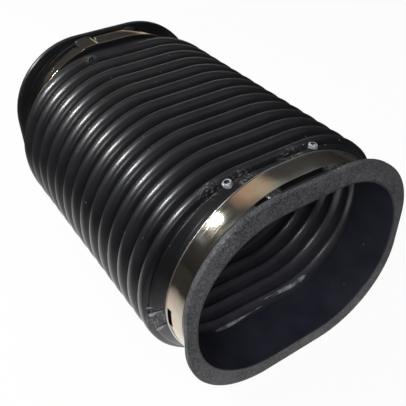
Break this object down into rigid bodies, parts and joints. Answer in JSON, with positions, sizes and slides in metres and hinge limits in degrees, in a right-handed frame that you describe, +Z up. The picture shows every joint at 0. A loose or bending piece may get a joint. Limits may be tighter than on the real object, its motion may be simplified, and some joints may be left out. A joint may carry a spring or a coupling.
{
  "type": "rubber bellows boot",
  "caption": "Obround rubber bellows duct boot with a flat seal flange at each mouth and a steel strap round each cuff.",
  "frame": {"origin": "under the middle of the boot, at the level that the flanges rest on", "axes": "+Y along the tube from the front mouth to the rear mouth, +X across the wide way of the section, +Z up from the face it lies on"},
  "size_m": [0.1956, 0.273, 0.1532],
  "materials": {
    "rubber": "semi-gloss moulded",
    "strap_steel": "bright rolled strip"
  },
  "bodies": {
    "root": {"bellows_boot": "rubber", "front_band": "strap_steel", "rear_band": "strap_steel"}
  },
  "joints": []
}
